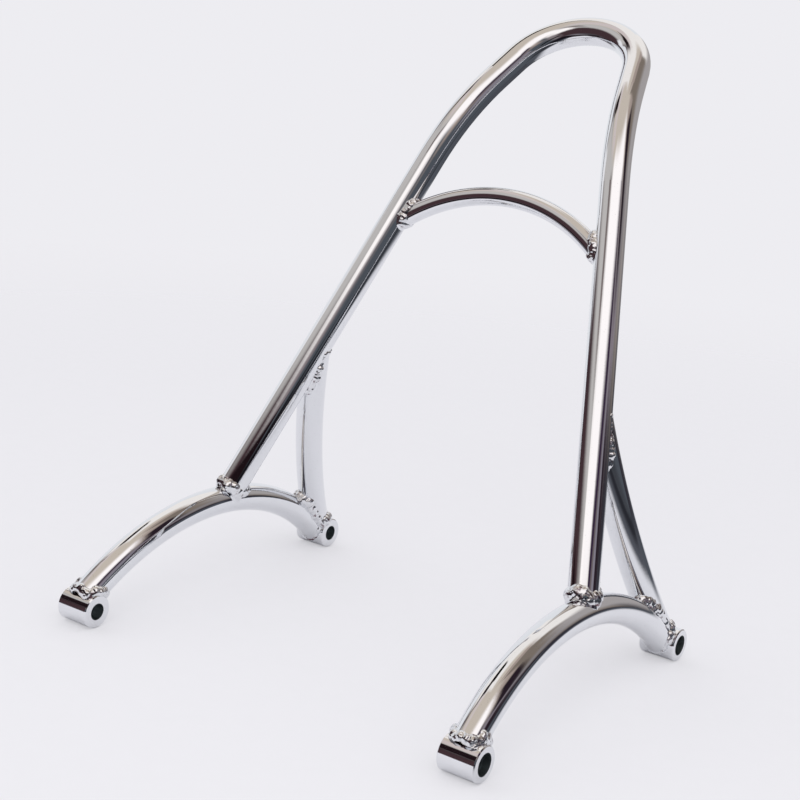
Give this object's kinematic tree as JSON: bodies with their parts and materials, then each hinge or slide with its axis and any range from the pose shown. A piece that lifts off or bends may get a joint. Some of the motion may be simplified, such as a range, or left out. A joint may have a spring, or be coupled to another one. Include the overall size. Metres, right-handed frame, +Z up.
{
  "type": "sissy bar",
  "caption": "Chrome-plated steel tube sissy bar: a tall bent hoop with a bowed cross brace, standing on side arches with rear braces and bolt bosses, as a passenger backrest frame.",
  "frame": {"origin": "on the ground under the middle of the bar's box, with the bar standing on its four bosses", "axes": "+X is the rider's left, across the bar and along the bolt bores; +Y is rearward; +Z is up"},
  "size_m": [0.362, 0.3952, 0.4668],
  "materials": {
    "tube": "bright chrome plate on steel tube",
    "boss": "bright chrome plate on turned steel",
    "weld": "chrome plate over rippled weld beads"
  },
  "bodies": {
    "root": {"hoop": "tube", "cross_brace": "tube", "arch_left": "tube", "arch_right": "tube", "brace_left": "tube", "brace_right": "tube", "boss_front_left": "boss", "boss_front_right": "boss", "boss_rear_left": "boss", "boss_rear_right": "boss", "weld_hoop_left": "weld", "weld_hoop_right": "weld", "weld_cross_left": "weld", "weld_cross_right": "weld", "weld_front_left": "weld", "weld_front_right": "weld", "weld_rear_left": "weld", "weld_rear_right": "weld", "weld_brace_top_left": "weld", "weld_brace_top_right": "weld", "weld_brace_foot_left": "weld", "weld_brace_foot_right": "weld"}
  },
  "joints": []
}
